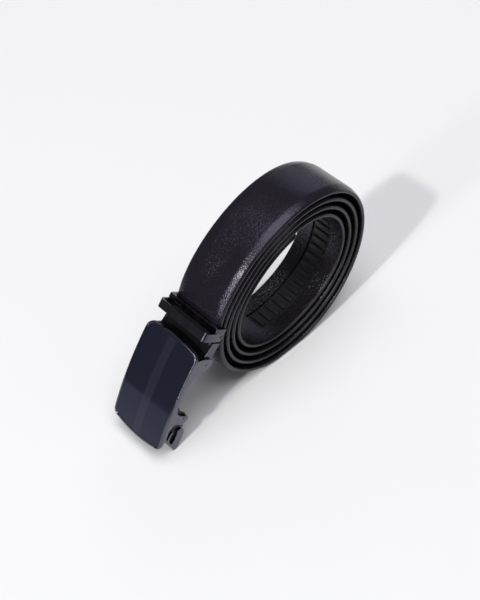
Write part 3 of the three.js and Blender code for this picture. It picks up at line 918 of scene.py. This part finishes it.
class BELT_OT_lever(bpy.types.Operator):
    """Model the curved release tab and the black pawl that turns with it"""
    bl_idname = "belt.lever"
    bl_label = "Lever and pawl"

    def execute(self, context):
        buckle = context.scene.belt_buckle
        self.tab(buckle)
        self.pawl(buckle)
        return {"FINISHED"}

    def tab(self, buckle):
        """Plated tab with a lobe at each side, whose hollow is closed by a black web, painted shade for the
        dark inside of the hollow.
        """
        half = PLATE_WIDTH / 2 - TAB_IN
        web_to = PLATE_WIDTH / 2 - WALL - 1.4
        turns = [math.radians(50 - 16 * i) for i in range(11)]
        tip = [(TAB_TIP[0] + TAB_TIP_RADIUS * math.cos(turn), TAB_TIP[1] + TAB_TIP_RADIUS * math.sin(turn))
               for turn in turns]
        outer = [(45.2, 9.6), (47.4, 10.6), (49.8, 11), (51.3, 10.9), (52.6, 10.4), (53.9, 9.7), (54.9, 8.8),
                 (56, 7.5), (57.2, 6), (58.9, 4.2)]
        inner = [(57.5, 1.6), (56.6, 3.5), (55.6, 5.4), (54.9, 6.7), (53.9, 7.9), (53, 8.6), (52, 9.1),
                 (50.8, 9.4), (49.6, 9.5), (47.6, 9.1), (45.4, 8.3)]
        lobe_low = [(57.6, -0.9), (56.1, -1), (54.6, -1.1), (52.2, -1.6), (50, -1.8), (48.1, -1.4),
                    (46.4, -0.4), (45.3, 0.7), (44.6, 2)]
        lobe_top = [(46, 4.6), (47.4, 4.3), (49.6, 4), (52.5, 4.3), (55.2, 5.4)]
        lobe_root = [(56.2, 5.6), (57.6, 4.6), (58.6, 3.2), (58.9, 1.4), (58.4, -0.4)]
        web = [(45.4, 9), (47.5, 9.8), (49.7, 10.2), (51.2, 10.1), (52.4, 9.7), (53.5, 9), (54.4, 8.2),
               (55.4, 7), (56.4, 5.5), *lobe_root[1:], (57.5, -0.7),
               *[(along, out + 0.2) for along, out in lobe_low[1:-1]], (44.8, 2)]
        bm = bmesh.new()
        add_prism(bm, turned(outer + tip + lobe_low[:1] + inner), -half, half)
        # The web's black is painted shade in the tab's hollow
        add_pair(bm, turned(web), half - LOBE_SHEET, web_to, material=1)
        add_pair(bm, turned(lobe_root + lobe_low + lobe_top), half - CLEAR, half - LOBE_SHEET)
        finish_piece(bm, "lever_tab", "lever", "release_lever",
                     [gunmetal(buckle), black_steel_and_shade(buckle)], tilted(BUCKLE_TILT), bevel=buckle.bevel,
                     angle=40)

    def pawl(self, buckle):
        """Folded steel rocker: two cheeks round the lever's pin, joined by a skin that ends in the pawl."""
        along, out = LEVER_PIN
        half = PLATE_WIDTH / 2 - WALL - SHEET_ROOM
        back = [(28.9, 10.4), (29.3, 10.5), (31.5, 9.2), (33.6, 8), (35.5, 7.1), (37.4, 6.6), (40.6, 7.1),
                (44, 7.9)]
        cheek = [(28.2, 8.6), *back, (44.9, 7.2), (44.2, 2.2), (46, -0.8), (44.8, -1), (42.6, 0.8),
                 (39.4, 0.9), (along + 0.6, out - 2.5), (along - 0.7, out - 2.3), (along - 1.9, out - 1.8),
                 (along - 2.5, out - 0.8), (along - 3, out + 0.3), (32.2, 5.4), (30.6, 7.4)]
        skin = [(28.4, 9.9), *back, (44, 6.3), (40.6, 5.7), (37.2, 5.2), (35.2, 5.6), (33.4, 7.2), (32.2, 6)]
        bm = bmesh.new()
        add_prism(bm, turned(skin), -half + SHEET, half - SHEET)
        add_pair(bm, turned(cheek), half, half - SHEET)
        finish_piece(bm, "pawl_rocker", "lever", "pawl_plate", [black_steel_and_shade(buckle)],
                     tilted(BUCKLE_TILT), bevel=buckle.bevel, segments=2, angle=40)


class BELT_OT_stage(bpy.types.Operator):
    """Set the pale floor, the soft lights, the surroundings and the camera"""
    bl_idname = "belt.stage"
    bl_label = "Stage"

    def execute(self, context):
        stage = context.scene.belt_stage
        self.floor(context, stage)
        self.lights(context)
        self.camera(context, stage)
        return {"FINISHED"}

    def floor(self, context, stage):
        """Seamless paper, matt and almost white. It takes soft shadows and shows no reflection."""
        bm = bmesh.new()
        half = stage.floor_size / 2
        bmesh.ops.create_grid(bm, x_segments=1, y_segments=1, size=half)
        along = Vector(FLOOR_EDGE_ALONG).normalized()
        centre = Vector(FLOOR_EDGE_AT) + half * Vector((along.y, -along.x, 0))
        turn = Matrix.Rotation(math.atan2(along.y, along.x), 4, "Z")
        bmesh.ops.transform(bm, verts=bm.verts, matrix=Matrix.Translation(centre) @ turn)
        mesh = bpy.data.meshes.new("floor")
        bm.to_mesh(mesh)
        bm.free()
        paper, _, _ = new_material("studio_paper", {
            "Base Color": linear(stage.floor_color), "Roughness": 0.9, "Specular IOR Level": 0.2})
        mesh.materials.append(paper)
        floor = bpy.data.objects.new("floor", mesh)
        context.scene.collection.objects.link(floor)

    def lights(self, context):
        """A sun from the left for the long shadow, a wide soft lamp overhead, a weak one from the far side,
        a narrow strip for the streak along the leather, and a dim room all round."""
        world = bpy.data.worlds.new("studio")
        world.use_nodes = True
        background = world.node_tree.nodes["Background"]
        background.inputs["Color"].default_value = linear("#F7F6FF")
        background.inputs["Strength"].default_value = 0.18
        context.scene.world = world
        context.scene.view_settings.view_transform = "Standard"
        self.lamp(context, "key", "SUN", (-0.766, -0.13, 0.633), 1.12, "#FDFFF1",
                  {"angle": math.radians(2.6)})
        self.lamp(context, "far_side", "AREA", (1.7, 1.05, 0.95), 3, "#E6EAFF", {"size": 1.2})
        self.lamp(context, "overhead", "AREA", (-0.15, -0.3, 3.0), 68, "#FBFAFF", {"size": 2.5})
        self.lamp(context, "strip", "AREA", (-1.6, -0.16, 0.5), 9, "#F4F4FF",
                  {"shape": "RECTANGLE", "size": 0.13, "size_y": 0.95})

    def lamp(self, context, name, kind, place, energy, color, sizes):
        """Lamp at a place in metres, aimed at the origin."""
        light = bpy.data.lights.new(name, kind)
        light.energy = energy
        light.color = linear(color)[:3]
        for key, value in sizes.items():
            setattr(light, key, value)
        lamp = bpy.data.objects.new(name, light)
        context.scene.collection.objects.link(lamp)
        lamp.location = place
        lamp.rotation_euler = Vector(place).to_track_quat("Z", "Y").to_euler()

    def camera(self, context, stage):
        camera = bpy.data.cameras.new("camera")
        camera.lens = stage.focal
        camera.sensor_width = FILM_WIDTH
        camera.clip_start, camera.clip_end = 0.01, 20
        view = bpy.data.objects.new("camera", camera)
        context.scene.collection.objects.link(view)
        level = math.cos(stage.elevation)
        back = Vector((math.sin(stage.azimuth) * level, -math.cos(stage.azimuth) * level,
                       math.sin(stage.elevation)))
        view.location = stage.camera_at
        view.rotation_euler = back.to_track_quat("Z", "Y").to_euler()
        context.scene.camera = view


class BELT_PT_panel(bpy.types.Panel):
    """Lists the steps of the belt and their sizes and colours"""
    bl_idname = "BELT_PT_panel"
    bl_label = "Coiled Belt"
    bl_space_type = "VIEW_3D"
    bl_region_type = "UI"
    bl_category = "Belt"

    def draw(self, context):
        for operator in OPERATORS:
            self.layout.operator(operator.bl_idname)
        for group in GROUPS:
            settings = getattr(context.scene, group)
            box = self.layout.box()
            for key in settings.bl_rna.properties.keys():
                if key not in {"rna_type", "name"}:
                    box.prop(settings, key)


OPERATORS = (
    BELT_OT_strap, BELT_OT_track, BELT_OT_clamp, BELT_OT_loop, BELT_OT_pins, BELT_OT_plate, BELT_OT_field,
    BELT_OT_lever, BELT_OT_stage)
GROUPS = {
    "belt_strap": BeltStrapSettings,
    "belt_buckle": BeltBuckleSettings,
    "belt_stage": BeltStageSettings,
}


def register():
    for cls in (*GROUPS.values(), *OPERATORS, BELT_PT_panel):
        bpy.utils.register_class(cls)
    for name, cls in GROUPS.items():
        setattr(bpy.types.Scene, name, PointerProperty(type=cls))


def unregister():
    for name in GROUPS:
        delattr(bpy.types.Scene, name)
    for cls in reversed((*GROUPS.values(), *OPERATORS, BELT_PT_panel)):
        bpy.utils.unregister_class(cls)


def main():
    register()
    for operator in OPERATORS:
        group, name = operator.bl_idname.split(".")
        if getattr(getattr(bpy.ops, group), name)() != {"FINISHED"}:
            raise RuntimeError(operator.bl_label + " didn't finish")


if __name__ == "__main__":
    main()
